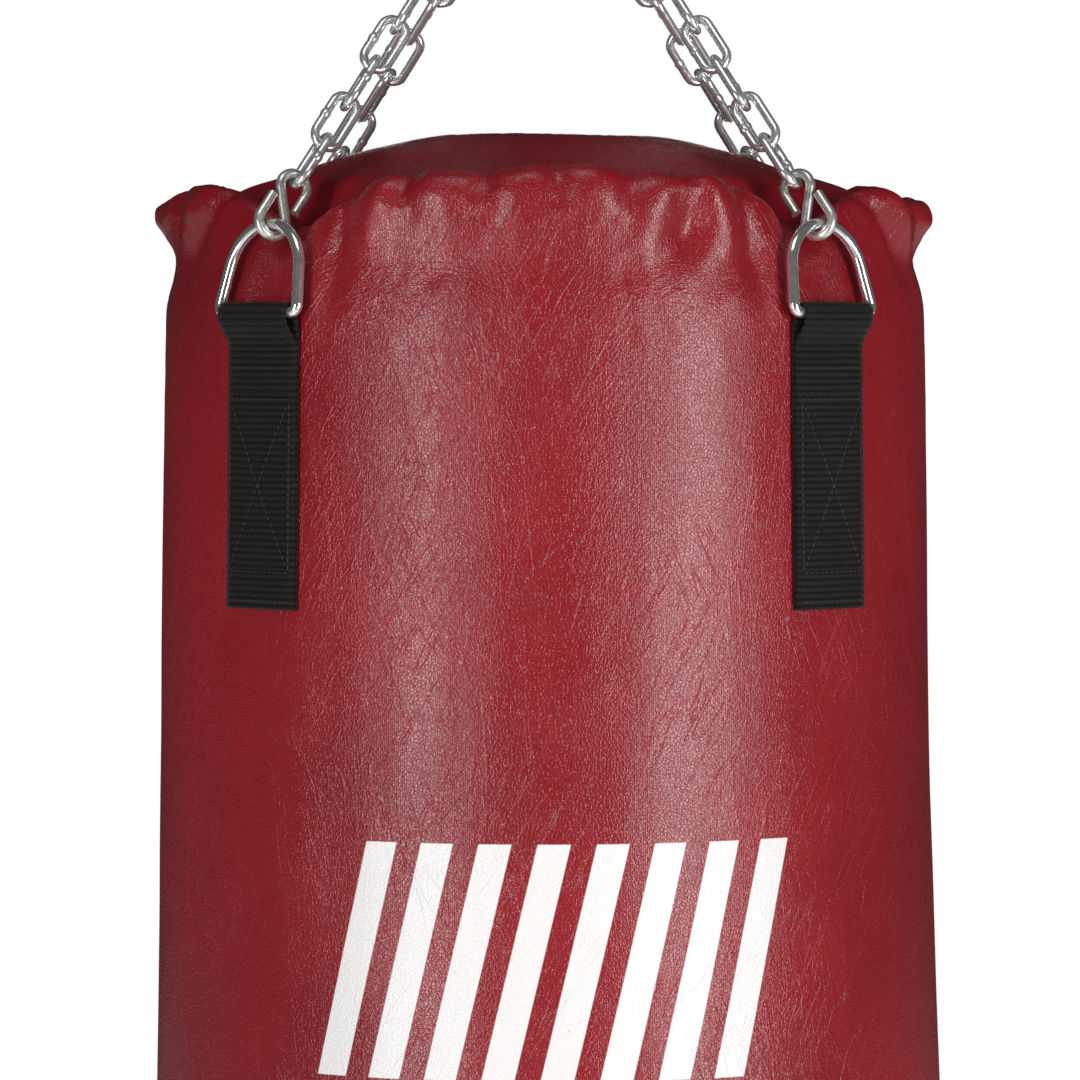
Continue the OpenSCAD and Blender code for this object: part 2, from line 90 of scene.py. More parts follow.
SEAT = {c: point_of("chain_twist_" + c) for c in CORNERS}
FOOT = {c: point_of("s_hook_twist_" + c) for c in CORNERS}
BAR_R = math.hypot(*point_of("d_ring_rock_front_left")[:2])
BAR_Z = point_of("d_ring_rock_front_left").z
BASE_Z = cad_low.z / MM
FOOT_H = BASE_Z - BAR_Z


# ---- Small helpers ----

def add_mesh(name, verts_mm, faces, material, body):
    mesh = bpy.data.meshes.new(name)
    mesh.from_pydata([tuple(v) for v in np.asarray(verts_mm, float) * MM], [], faces)
    mesh.update()
    mesh.polygons.foreach_set("use_smooth", [True] * len(mesh.polygons))
    mesh.materials.append(material)
    obj = bpy.data.objects.new(name, mesh)
    bpy.context.scene.collection.objects.link(obj)
    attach(obj, body)
    return obj


def grid_faces(rows, columns, wrap=True, flip=False):
    """Quads of a grid whose vertices run along its columns first; wrap closes each row on itself."""
    faces = []
    for i in range(rows - 1):
        for j in range(columns if wrap else columns - 1):
            k = (j + 1) % columns
            quad = (i * columns + j, i * columns + k, (i + 1) * columns + k, (i + 1) * columns + j)
            faces.append(quad[::-1] if flip else quad)
    return faces


def smooth_step(x, low, high):
    t = np.clip((np.asarray(x, float) - low) / (high - low), 0, 1)
    return t * t * (3 - 2 * t)


def smooth_max(a, b, k):
    """The larger of two fields, rounded over a width k where they cross."""
    h = np.clip(0.5 + 0.5 * (a - b) / k, 0, 1)
    return b + (a - b) * h + k * h * (1 - h)


def wrap_degrees(a):
    return (np.asarray(a, float) + 180) % 360 - 180


def polar(points):
    """Each point's angle round the bag in degrees, 0 at the front and 90 at the right, and its radius."""
    return np.degrees(np.arctan2(points[:, 0], -points[:, 1])), np.hypot(points[:, 0], points[:, 1])


def push_out(points, shift):
    """Moves points away from the bag's axis by shift."""
    out = points.copy()
    out[:, :2] *= (1 + shift / np.maximum(polar(points)[1], 1))[:, None]
    return out


def wall_radius(below):
    """Radius of the plain wall in part.scad at a depth below the bars."""
    return float(np.interp(below, [0, TAPER_DROP], [NECK_R, BAG_R]))


def corner_axes(corner):
    """Level directions away from the bag's axis and across the strap at a corner."""
    out = Vector((*CORNERS[corner], 0)).normalized()
    return out, Vector((-out.y, out.x, 0))


def thicken(obj, thickness):
    """Gives a sheet its thickness in millimetres, inwards from its modelled face."""
    modifier = obj.modifiers.new("thickness", "SOLIDIFY")
    modifier.thickness = thickness * MM
    modifier.offset = -1


def fractal(points, scale, seed):
    """Smooth noise at points, with features of about scale millimetres."""
    offset = Vector((seed * 17.3, seed * 5.1, seed * 9.7))
    return np.array([noise.fractal(Vector(p) / scale + offset, 0.9, 2.1, 3) for p in points])


def tube(path, radius, sides, closed=False):
    """Vertices and faces of a tube along a path; radius may be one number or one for each point."""
    path = [Vector(p) for p in path]
    n = len(path)
    radii = radius if hasattr(radius, "__len__") else [radius] * n
    verts = []
    if closed:
        tangents = [(path[(i + 1) % n] - path[i - 1]).normalized() for i in range(n)]
    else:
        tangents = [(path[min(i + 1, n - 1)] - path[max(i - 1, 0)]).normalized() for i in range(n)]
    side = tangents[0].orthogonal().normalized()
    for i, p in enumerate(path):
        side = (side - tangents[i] * side.dot(tangents[i])).normalized()
        up = tangents[i].cross(side)
        for k in range(sides):
            a = TAU * k / sides
            verts.append(p + (side * math.cos(a) + up * math.sin(a)) * radii[i])
    faces = [tuple(v % len(verts) for v in face) for face in grid_faces(n + closed, sides)]
    if not closed:
        faces.append(tuple(range(sides))[::-1])
        faces.append(tuple((n - 1) * sides + k for k in range(sides)))
    return verts, faces


class Parts:
    """Collects meshes that become one piece."""

    def __init__(self):
        self.verts, self.faces = [], []

    def add(self, verts, faces):
        base = len(self.verts)
        self.verts += list(verts)
        self.faces += [tuple(base + i for i in f) for f in faces]


# ---- Materials ----

class Nodes:
    """A short way to write a node material."""

    def __init__(self, name, **shader):
        self.material = bpy.data.materials.new(name)
        self.material.use_nodes = True
        self.tree = self.material.node_tree
        self.shader = self.tree.nodes["Principled BSDF"]
        self.fill(self.shader, **shader)
        self.place = self.tree.nodes.new("ShaderNodeTexCoord").outputs["Object"]

    def fill(self, node, **numbers):
        for key, value in numbers.items():
            node.inputs[key.replace("_", " ")].default_value = value

    def put(self, socket, value):
        if isinstance(value, bpy.types.NodeSocket):
            self.tree.links.new(value, socket)
        else:
            socket.default_value = value

    def math(self, operation, a, b=0.0, c=0.0):
        node = self.tree.nodes.new("ShaderNodeMath")
        node.operation = operation
        for socket, value in zip(node.inputs, (a, b, c)):
            self.put(socket, value)
        return node.outputs[0]

    def noise(self, scale, detail=3.0, rough=0.5, distortion=0.0, at=None):
        node = self.tree.nodes.new("ShaderNodeTexNoise")
        self.put(node.inputs["Vector"], at or self.place)
        self.fill(node, Scale=scale, Detail=detail, Roughness=rough, Distortion=distortion)
        return node.outputs["Fac"]

    def cells(self, scale, feature="DISTANCE_TO_EDGE", at=None, smoothness=0.0):
        node = self.tree.nodes.new("ShaderNodeTexVoronoi")
        node.feature = feature
        self.put(node.inputs["Vector"], at or self.place)
        node.inputs["Scale"].default_value = scale
        if feature == "SMOOTH_F1":
            node.inputs["Smoothness"].default_value = smoothness
        return node.outputs["Distance"]

    def wave(self, scale, at, distortion, direction, detail, detail_scale):
        node = self.tree.nodes.new("ShaderNodeTexWave")
        node.bands_direction = direction
        self.put(node.inputs["Vector"], at)
        self.fill(node, Scale=scale, Distortion=distortion, Detail=detail, Detail_Scale=detail_scale)
        return node.outputs["Fac"]

    def off_middle(self, value):
        """How far a value lies from 0.5."""
        return self.math("ABSOLUTE", self.math("SUBTRACT", value, 0.5))

    def ramp(self, value, low, high, out_low=0.0, out_high=1.0):
        node = self.tree.nodes.new("ShaderNodeMapRange")
        node.interpolation_type = "SMOOTHSTEP"
        for socket, v in zip(node.inputs, (value, low, high, out_low, out_high)):
            self.put(socket, v)
        return node.outputs[0]

    def mix(self, factor, a, b):
        node = self.tree.nodes.new("ShaderNodeMix")
        node.data_type = "RGBA"
        self.put(node.inputs["Factor"], factor)
        for key, value in (("A", a), ("B", b)):
            socket = [s for s in node.inputs if s.name == key and s.type == "RGBA"][0]
            self.put(socket, (*value, 1.0) if isinstance(value, tuple) and len(value) == 3 else value)
        return [s for s in node.outputs if s.type == "RGBA"][0]

    def xyz(self):
        node = self.tree.nodes.new("ShaderNodeSeparateXYZ")
        self.put(node.inputs[0], self.place)
        return node.outputs

    def vector(self, x, y, z):
        node = self.tree.nodes.new("ShaderNodeCombineXYZ")
        for socket, value in zip(node.inputs, (x, y, z)):
            self.put(socket, value)
        return node.outputs[0]

    def stretched(self, x, y, z):
        node = self.tree.nodes.new("ShaderNodeMapping")
        self.put(node.inputs["Vector"], self.place)
        node.inputs["Scale"].default_value = (x, y, z)
        return node.outputs[0]

    def shifted(self, shift):
        node = self.tree.nodes.new("ShaderNodeMapping")
        self.put(node.inputs["Vector"], self.place)
        node.inputs["Location"].default_value = (shift, -shift, 2 * shift)
        return node.outputs[0]

    def bump(self, *layers):
        """Layers of (height, depth in metres), from broad to fine."""
        normal = None
        for height, depth in layers:
            node = self.tree.nodes.new("ShaderNodeBump")
            node.inputs["Distance"].default_value = depth
            self.put(node.inputs["Height"], height)
            if normal is not None:
                self.put(node.inputs["Normal"], normal)
            normal = node.outputs[0]
        self.put(self.shader.inputs["Normal"], normal)

    def set(self, key, value):
        self.put(self.shader.inputs[key], value)


def leatherette(name, deep, pale, printed=False, upright=True, gloss=0.55):
    """Coated cloth with grain, pores, a faint weave and crease lines, which are raised and tinted lighter as a
    painted highlight; upright on the bag's side.
    """
    m = Nodes(name, Specular_IOR_Level=gloss)
    x, y, z = m.xyz()
    around = m.math("MULTIPLY", m.math("ARCTAN2", x, m.math("MULTIPLY", y, -1.0)), BAG_R * MM)
    flat = m.vector(around, z, 0.0) if upright else m.place
    tone = m.noise(7.0, 4.0, 0.55)
    cloud = m.noise(40.0, 3.0, 0.6)
    grain = m.cells(680.0)
    pores = m.noise(1700.0, 2.0, 0.6)
    pebbles = m.cells(460.0, "SMOOTH_F1", smoothness=0.6)
    weave = m.math("ADD", *(m.wave(330.0, flat, 0.8, way, 1.0, 2.0) for way in "XY"))

    def lines(scale, lean, stretch, width, seed, low, high):
        """Thin crease lines: the contours of a stretched noise, kept to patches."""
        if upright:
            shear = m.math("ADD", around, m.math("MULTIPLY", z, lean))
            at = m.vector(shear, m.math("MULTIPLY", z, stretch), seed)
        else:
            at = m.shifted(seed)
        value = m.noise(scale, 2.0, 0.5, 0.25, at=at)
        line = m.ramp(m.off_middle(value), 0.0, width, 1.0, 0.0)
        patch = m.ramp(m.noise(13.0, 3.0, 0.5, at=m.shifted(seed)), low, high)
        return m.math("MULTIPLY", line, patch)

    long_lines = m.math("MAXIMUM", lines(95.0, 0.10, 0.055, 0.022, 0.3, 0.44, 0.60),
                        lines(120.0, -0.16, 0.07, 0.02, 1.7, 0.48, 0.62))
    net = m.math("MAXIMUM", lines(105.0, -0.55, 0.2, 0.02, 2.9, 0.42, 0.58),
                 lines(115.0, 0.45, 0.18, 0.02, 4.1, 0.48, 0.62))
    if upright:
        net = m.math("MAXIMUM", net, crown_wrinkles(m, around, z))
    colour = m.mix(m.ramp(tone, 0.3, 0.7), deep, pale)
    darker = tuple(0.6 * v for v in deep)
    colour = m.mix(m.ramp(grain, 0.0, 0.12, 0.3, 0.0), colour, darker)
    # painted highlight: the crease lines and wrinkles are tinted a lighter red, as if they caught the light
    crease_highlight_colour = tuple(1.25 * v + 0.012 for v in pale)
    colour = m.mix(m.math("MULTIPLY", m.math("MAXIMUM", long_lines, net), 0.14), colour, crease_highlight_colour)
    rough = m.ramp(cloud, 0.25, 0.75, 0.20, 0.26)
    rough = m.math("ADD", rough, m.ramp(grain, 0.0, 0.15, 0.06, 0.0))
    if printed:
        ink = bars(m, around, z)
        fleck = m.ramp(m.math("MINIMUM", grain, m.ramp(pores, 0.3, 0.5)), 0.0, 0.05, 0.25, 0.0)
        cover = m.math("MULTIPLY", ink, m.math("SUBTRACT", 1.0, m.math("MULTIPLY", fleck, 0.6)))
        colour = m.mix(cover, colour, INK)
        rough = m.math("ADD", rough, m.math("MULTIPLY", ink, 0.14))
    m.set("Base Color", colour)
    m.set("Roughness", rough)
    m.bump(
        (long_lines, 0.00006),
        (net, 0.00012),
        (weave, 0.000018),
        (m.ramp(grain, 0.0, 0.2), 0.00006),
        (pebbles, 0.00005),
        (pores, 0.00002),
    )
    return m.material


def crown_wrinkles(m, around, z):
    """Fine wrinkles that run round the bag just under its gathered rim."""
    bent = m.math("ADD", z, m.math("MULTIPLY", m.math("SINE", m.math("MULTIPLY", around, 38.0)), 0.008))
    value = m.noise(120.0, 2.0, 0.5, 0.3, at=m.vector(m.math("MULTIPLY", around, 0.28), bent, 6.3))
    line = m.ramp(m.off_middle(value), 0.0, 0.03, 1.0, 0.0)
    patch = m.ramp(m.noise(17.0, 3.0, 0.5, at=m.shifted(7.7)), 0.44, 0.58)
    level = m.math("SUBTRACT", z, BAR_Z * MM)
    band = m.math("MULTIPLY", m.ramp(level, -0.030, 0.012), m.ramp(level, 0.048, 0.062, 1.0, 0.0))
    return m.math("MULTIPLY", m.math("MULTIPLY", line, patch), band)


# The generic print: a band of plain slanted bars round the front, in metres, with depths below the D-ring bars
BAR_TOP, BAR_LOW, BAR_SHIFT, BAR_SOFT = 0.2255, 0.3265, 0.0043, 0.0003
BAR_PITCH, BAR_SHARE, BAR_COUNT, BAR_SLANT = 0.0254, 0.56, 8, 0.24
INK = (0.80, 0.785, 0.775)


def bars(m, around, z):
    """Mask of the print: 1 on the bars' ink."""
    below = m.math("SUBTRACT", BAR_Z * MM, z)
    middle = (BAR_TOP + BAR_LOW) / 2
    slide = m.math("ADD", around, m.math("MULTIPLY", m.math("SUBTRACT", below, middle), BAR_SLANT))
    slide = m.math("SUBTRACT", slide, BAR_SHIFT)
    within = m.off_middle(m.math("FRACT", m.math("DIVIDE", slide, BAR_PITCH)))
    mask = until(m, within, BAR_SHARE / 2, BAR_SOFT / BAR_PITCH)
    mask = m.math("MULTIPLY", mask, until(m, m.math("ABSOLUTE", slide), BAR_COUNT * BAR_PITCH / 2, BAR_SOFT))
    mask = m.math("MULTIPLY", mask, m.ramp(below, BAR_TOP - BAR_SOFT, BAR_TOP + BAR_SOFT))
    return m.math("MULTIPLY", mask, until(m, below, BAR_LOW, BAR_SOFT))


def until(m, value, limit, soft):
    """1 below a limit and 0 above it, with a soft edge."""
    return m.ramp(value, limit - soft, limit + soft, 1.0, 0.0)


def metal(name, tint, other, rough, spread, relief, scale=400.0, metallic=1.0):
    """Plated or bare metal in two tints, with roughness that varies by spread; relief in metres. With metallic
    below 1, part of the tint shows as matt colour, a painted reflection.
    """
    m = Nodes(name, Metallic=metallic)
    patches = m.noise(160.0, 4.0, 0.6)
    fine = m.noise(scale, 4.0, 0.65)
    drawn = m.noise(90.0, 2.0, 0.5, 1.2)
    m.set("Base Color", m.mix(m.ramp(patches, 0.35, 0.65), tint, other))
    spots = m.ramp(fine, 0.3, 0.75, rough, rough + spread)
    m.set("Roughness", m.math("ADD", spots, m.ramp(drawn, 0.5, 0.7, 0.0, spread * 0.5)))
    m.bump((patches, relief), (fine, relief * 0.5))
    return m.material


def webbing(name):
    """Black webbing whose grooves lie between its ribs, one rib each RIB_PITCH below the bars; the grooves
    carry painted shade.
    """
    m = Nodes(name, Sheen_Weight=0.04, Sheen_Roughness=0.5, Specular_IOR_Level=0.22)
    below = m.math("SUBTRACT", BAR_Z * MM, m.xyz()["Z"])
    rib = m.math("ABSOLUTE", m.math("SINE", m.math("MULTIPLY", below, math.pi / (RIB_PITCH * MM))))
    yarn = m.cells(1300.0, "SMOOTH_F1", at=m.stretched(1.0, 1.0, 0.55), smoothness=0.5)
    fuzz = m.noise(2600.0, 2.0, 0.6)
    tone = m.noise(60.0, 3.0, 0.6)
    colour = m.mix(m.ramp(yarn, 0.1, 0.8), (0.0105, 0.0096, 0.0076), (0.0045, 0.0042, 0.0034))
    colour = m.mix(m.ramp(tone, 0.35, 0.7, 0.0, 0.3), colour, (0.014, 0.013, 0.0105))
    # painted shade: the colour goes nearly black in the grooves between the ribs
    colour = m.mix(m.ramp(rib, 0.15, 0.75, 0.95, 0.0), colour, (0.0010, 0.0010, 0.0009))
    m.set("Base Color", colour)
    m.set("Roughness", m.ramp(fuzz, 0.3, 0.7, 0.62, 0.86))
    m.bump((rib, 0.0004), (yarn, -0.0003), (fuzz, 0.00008))
    return m.material


def cloth(name, deep, pale, scale, relief, rough=0.85):
    """Plain woven or felted stuff with threads at scale cells a metre; relief in metres."""
    m = Nodes(name, Specular_IOR_Level=0.3)
    threads = m.cells(scale, "SMOOTH_F1", smoothness=0.7)
    tone = m.noise(30.0, 4.0, 0.6)
    fine = m.noise(scale * 1.6, 3.0, 0.6)
    colour = m.mix(m.ramp(tone, 0.3, 0.7), deep, pale)
    m.set("Base Color", m.mix(m.ramp(threads, 0.2, 0.9, 0.0, 0.5), colour, tuple(0.6 * v for v in deep)))
    m.set("Roughness", m.ramp(fine, 0.2, 0.8, rough - 0.1, rough))
    m.bump((threads, -relief), (fine, relief * 0.5))
    return m.material


RED_DEEP, RED_PALE = (0.205, 0.0062, 0.0115), (0.275, 0.0095, 0.0170)
red_cover = leatherette("leatherette_cover", RED_DEEP, RED_PALE, printed=True)
RED_SHADED, RED_DARK = (tuple(share * v for v in RED_DEEP) for share in (0.93, 0.85))
red_top = leatherette("leatherette_top", RED_SHADED, RED_PALE, upright=False, gloss=0.2)
red_base = leatherette("leatherette_base", RED_DARK, RED_DEEP, upright=False)
# The chain, S-hooks and D-rings are not fully metallic: part of their pale tint shows as matt colour, a painted
# reflection of bright surroundings
zinc_chain = metal("zinc_chain", (0.92, 0.93, 0.92), (0.80, 0.83, 0.82), 0.16, 0.16, 0.00006, metallic=0.8)
zinc_hook = metal("zinc_hook", (0.74, 0.74, 0.71), (0.62, 0.62, 0.59), 0.24, 0.14, 0.00006, metallic=0.82)
nickel_ring = metal("nickel_ring", (0.92, 0.92, 0.91), (0.84, 0.84, 0.84), 0.09, 0.09, 0.00002, metallic=0.9)
zinc_forging = metal("zinc_forging", (0.60, 0.61, 0.60), (0.50, 0.51, 0.50), 0.3, 0.2, 0.00018, 250.0)
bearing_steel = metal("bearing_steel", (0.66, 0.66, 0.67), (0.60, 0.60, 0.62), 0.1, 0.08, 0.00001)
zinc_fastener = metal("zinc_fastener", (0.58, 0.57, 0.53), (0.52, 0.52, 0.50), 0.22, 0.14, 0.00004)
zip_metal = metal("zip_metal", (0.42, 0.42, 0.43), (0.34, 0.34, 0.35), 0.2, 0.12, 0.00003)
black_webbing = webbing("black_webbing")
black_thread = cloth("black_thread", (0.022, 0.021, 0.018), (0.034, 0.032, 0.028), 3000.0, 0.0001, 0.6)
black_tape = cloth("zip_tape_cloth", (0.012, 0.012, 0.012), (0.022, 0.022, 0.022), 1500.0, 0.00015)
tooth_plastic = cloth("zip_tooth_plastic", (0.02, 0.02, 0.02), (0.03, 0.03, 0.03), 600.0, 0.00003, 0.45)
backing_canvas = cloth("backing_canvas", (0.03, 0.03, 0.03), (0.05, 0.05, 0.05), 900.0, 0.0002)
foam_sheet = cloth("foam_sheet", (0.62, 0.57, 0.42), (0.72, 0.68, 0.55), 500.0, 0.0006)
sack_cloth = cloth("sack_cloth", (0.6, 0.58, 0.52), (0.7, 0.68, 0.62), 700.0, 0.0003)
packed_textile = cloth("packed_textile", (0.06, 0.07, 0.09), (0.25, 0.22, 0.2), 260.0, 0.001)
piping_vinyl = leatherette("piping_vinyl", (0.016, 0.016, 0.016), (0.024, 0.024, 0.024))

# The CAD nodes that no piece replaces, by material
NODE_MATERIALS = (
    (zinc_forging, "swivel_eye", "swivel_yoke"),
    (zinc_fastener, "swivel_nut", "swivel_lock_pin", "clevis_pin", "clevis_split_pin"),
    (bearing_steel, "swivel_upper_race", "swivel_lower_race", "swivel_balls"),
    (zinc_chain, "master_ring"),
    (black_tape, "zip_tape"),
    (tooth_plastic, "zip_teeth"),
    (zip_metal, "zip_stops", "zip_slider", "zip_pull"),
    (foam_sheet, "foam_wrap"),
    (sack_cloth, "inner_sack"),
    (packed_textile, "textile_filling"),
    (zinc_hook, *("s_hook_" + corner for corner in CORNERS)),
    (nickel_ring, *("d_ring_" + corner for corner in CORNERS)),
    (backing_canvas, *("patch_" + corner for corner in CORNERS)),
)
for material, *names in NODE_MATERIALS:
    for name in names:
        slots = frame["nodes"][name].data.materials
        slots.clear()
        slots.append(material)


# ---- Camera, light and floor ----

CAMERA_DISTANCE, VIEW_WIDTH = 2700.0, 487.7  # the view's width at the bag's axis
CAMERA_X, CAMERA_RISE, AIM_X, AIM_DROP = -2.0, 1.0, -2.4, 103.0  # heights from the bars
SENSOR_WIDTH = 36.0
camera_data = bpy.data.cameras.new("camera")
camera_data.sensor_width = SENSOR_WIDTH
camera_data.lens = SENSOR_WIDTH * CAMERA_DISTANCE / VIEW_WIDTH
camera_data.clip_end = 100.0
camera = bpy.data.objects.new("camera", camera_data)
bpy.context.scene.collection.objects.link(camera)
camera_at = Vector((CAMERA_X, -CAMERA_DISTANCE, BAR_Z + CAMERA_RISE)) * MM
camera_aim = Vector((AIM_X, 0, BAR_Z - AIM_DROP)) * MM
camera.location = camera_at
camera.rotation_euler = (camera_aim - camera_at).to_track_quat("-Z", "Y").to_euler()
bpy.context.scene.camera = camera


LIGHT_AIM_DROP = 250


def soft_box(name, azimuth, elevation, distance, width, height, power):
    """An area light aimed at the bag's upper part, with sizes in metres."""
    data = bpy.data.lights.new(name, "AREA")
    data.shape = "RECTANGLE"
    data.size, data.size_y, data.energy = width, height, power
    obj = bpy.data.objects.new(name, data)
    bpy.context.scene.collection.objects.link(obj)
    aim = Vector((0, 0, (BAR_Z - LIGHT_AIM_DROP) * MM))
    a, e = math.radians(azimuth), math.radians(elevation)
    away = Vector((math.sin(a) * math.cos(e), -math.cos(a) * math.cos(e), math.sin(e)))
    obj.location = aim + away * distance
    obj.rotation_euler = (-away).to_track_quat("-Z", "Y").to_euler()
    obj.visible_camera = False


soft_box("key_left", -35, 2, 2.1, 0.42, 1.4, 20)
soft_box("key_right", 42, 2, 2.1, 0.70, 1.4, 29)
soft_box("top_fill", -10, 66, 2.4, 1.2, 0.8, 8)
soft_box("back_fill", 180, -3, 2.6, 0.45, 1.6, 9)

# The backdrop's strength for the camera, and as light on matt and on shiny surfaces
SKY_SEEN, SKY_DIFFUSE, SKY_GLOSSY = 1.0, 0.18, 0.03
world = bpy.data.worlds.new("studio")
bpy.context.scene.world = world
world.use_nodes = True
tree = world.node_tree
background = tree.nodes["Background"]
background.inputs["Color"].default_value = (1.0, 1.0, 1.0, 1.0)
rays = tree.nodes.new("ShaderNodeLightPath")
level = None
for ray, share in (("Is Camera Ray", SKY_SEEN - SKY_GLOSSY), ("Is Diffuse Ray", SKY_DIFFUSE - SKY_GLOSSY)):
    node = tree.nodes.new("ShaderNodeMath")
    node.operation = "MULTIPLY_ADD"
    tree.links.new(rays.outputs[ray], node.inputs[0])
    node.inputs[1].default_value = share
    node.inputs[2].default_value = SKY_GLOSSY
    if level:
        tree.links.new(level, node.inputs[2])
    level = node.outputs[0]
tree.links.new(level, background.inputs["Strength"])
bpy.context.scene.view_settings.view_transform = "Standard"

FLOOR_DROP, FLOOR_R, FLOOR_SIDES = 380, 7200.0, 64


def floor_corner(i):
    a = TAU * i / FLOOR_SIDES
    return FLOOR_R * MM * math.cos(a), FLOOR_R * MM * math.sin(a), (BASE_Z - FLOOR_DROP) * MM


floor_mesh = bpy.data.meshes.new("floor")
floor_mesh.from_pydata([floor_corner(i) for i in range(FLOOR_SIDES)], [], [tuple(range(FLOOR_SIDES))])
floor = bpy.data.objects.new("floor", floor_mesh)
bpy.context.scene.collection.objects.link(floor)
floor_paint = Nodes("floor_paint", Roughness=0.8, Emission_Color=(1.0, 1.0, 0.99, 1.0), Emission_Strength=0.24)
floor_tone = floor_paint.mix(floor_paint.noise(3.0, 4.0), (0.80, 0.80, 0.79), (0.84, 0.84, 0.83))
floor_paint.set("Base Color", floor_tone)
floor_mesh.materials.append(floor_paint.material)


# ---- Shape of the cover ----
# Angles run round the bag in degrees, 0 at the front and 90 at the right. Heights are above the D-ring bars.

CORNER_ANGLES = (-135.0, -45.0, 45.0, 135.0)
# Gathers of the crown: angle, height, half width in degrees, half height, depth (negative is a bulge), and
# slant in degrees for each millimetre of height
GATHERS = (
    (-32, 34, 2.6, 24, 5.4, 0.05), (-26, 42, 3.0, 16, -2.2, 0.1), (-21, 55, 2.0, 8, 2.6, 0.10),
    (-15, 44, 4.6, 18, -1.8, -0.1), (-9, 56, 1.7, 8, 2.2, 0.05), (-3, 47, 3.6, 16, -1.2, 0.05),
    (2, 55, 1.6, 9, 2.0, -0.06), (7, 47, 3.4, 16, -1.4, 0.0), (12.5, 55, 1.8, 10, 3.0, 0.08),
    (16.5, 42, 3.0, 14, -2.2, 0.1), (21.5, 35, 3.8, 12, 6.4, 0.12), (26.5, 44, 2.8, 16, -3.6, -0.1),
    (32, 34, 2.6, 24, 5.4, -0.05), (-14, 20, 3.0, 10, 0.8, 0.35), (27, 14, 2.8, 12, 1.4, 0.3),
    (62, 42, 2.4, 22, 4.4, -0.35), (69, 40, 2.6, 20, -2.6, -0.3), (75, 44, 2.0, 20, 4.0, -0.25),
    (82, 50, 3.0, 14, -2.2, 0.0), (88, 34, 2.2, 14, 2.8, 0.2), (99, 46, 2.6, 16, 3.4, 0.2),
    (108, 40, 3.0, 18, 2.6, 0.25),
    (-62, 42, 2.4, 20, 3.8, 0.3), (-69, 40, 2.8, 18, -2.2, 0.3), (-76, 50, 2.2, 14, 3.0, -0.1),
    (-91, 48, 5.0, 16, -2.5, 0.0), (-103, 46, 2.6, 18, 3.4, -0.2), (-113, 40, 3.0, 14, 2.6, -0.25),
    (149, 36, 2.6, 22, 4.6, 0.1), (156, 48, 3.0, 16, -2.2, 0.0), (163, 54, 2.0, 12, 3.2, 0.0),
    (172, 44, 3.8, 18, -2.2, 0.1), (-178, 54, 1.9, 12, 3.2, 0.0), (-168, 45, 3.6, 18, -2.0, 0.0),
    (-160, 52, 2.2, 14, 3.4, -0.1), (-148, 36, 2.6, 22, 4.6, -0.1),
)


def corner_pull(angle, spread=12.5):
    """1 at the corners where the chains pull, 0 between them."""
    return sum(np.exp(-((wrap_degrees(angle - c)) / spread) ** 2) for c in CORNER_ANGLES)


def lobe_wave(angle):
    """A slow, uneven rise and fall of the rim between the corners."""
    a = np.radians(angle)
    return 1.6 * np.sin(3 * a + 0.8) + 1.2 * np.sin(7 * a + 2.1) + 0.9 * np.sin(13 * a + 0.4)


def ear(angle):
    """How far the rim flares out at the bag's left and right."""
    a = np.asarray(angle, float)
    return np.exp(-((wrap_degrees(a - 88)) / 20) ** 2) + np.exp(-((wrap_degrees(a + 92)) / 20) ** 2)


def rim_height(angle):
    return RIM_H + 1.5 - 9.0 * ear(angle) - 20 * corner_pull(angle) + lobe_wave(angle)


def crease_radius(angle):
    """Radius of the crease where the rim's lip meets the top panel."""
    return CREASE_R - 4 + 5.0 * ear(angle) - 9 * corner_pull(angle) + 0.8 * np.sin(np.radians(9 * angle))


def crown_controls(angle):
    """Control points (radius, height) of the crown's profile at each angle, from crease to side."""
    top = rim_height(angle)
    crease = crease_radius(angle)
    flare = ear(angle)
    pull = corner_pull(angle)
    ones = np.ones_like(top)
    lip = 168.5 + 4.8 * flare - 7.5 * pull + 0.6 * np.sin(np.radians(11 * angle))
    waist = 168.2 - 2.2 * flare - 2.0 * pull
    rows = (
        (crease - 1.0, top - 18.0),
        (crease + 0.2, top - 11.0),
        (crease + 1.6, top - 4.0),
        (crease + 6.0, top - 0.2),
        (lip - 2.6, top - 2.6),
        (lip, top - 9.5 + 2 * pull),
        ((lip + waist) / 2, 0.5 * (top - 9.5) + 13.0),
        (waist, 22.0 * ones),
        (170.2 * ones, 4.0 * ones),
        (171.0 * ones, -16.0 * ones),
        (171.3 * ones, -34.0 * ones),
    )
    return np.stack([np.stack(row, -1) for row in rows], 1)


def spline(controls, steps):
    """Catmull-Rom points through controls of shape (angles, points, 2)."""
    before = 2 * controls[:, :1] - controls[:, 1:2]
    after = 2 * controls[:, -1:] - controls[:, -2:-1]
    c = np.concatenate([before, controls, after], 1)
    spans = controls.shape[1] - 1
    out = []
    for s in np.linspace(0, spans, steps):
        i = min(int(s), spans - 1)
        t = s - i
        p0, p1, p2, p3 = (c[:, i + k] for k in range(4))
        out.append(0.5 * (2 * p1 + (p2 - p0) * t + (2 * p0 - 5 * p1 + 4 * p2 - p3) * t ** 2
                          + (3 * p1 - p0 - 3 * p2 + p3) * t ** 3))
    return np.stack(out, 1)


CROWN_FOOT, CROWN_FOOT_R = 34, 171.4  # depth below the bars where the crown's rows end


def side_radius(height):
    """Radius of the cover below its crown."""
    return np.interp(-np.asarray(height, float), [CROWN_FOOT, TAPER_DROP], [CROWN_FOOT_R, BAG_R])


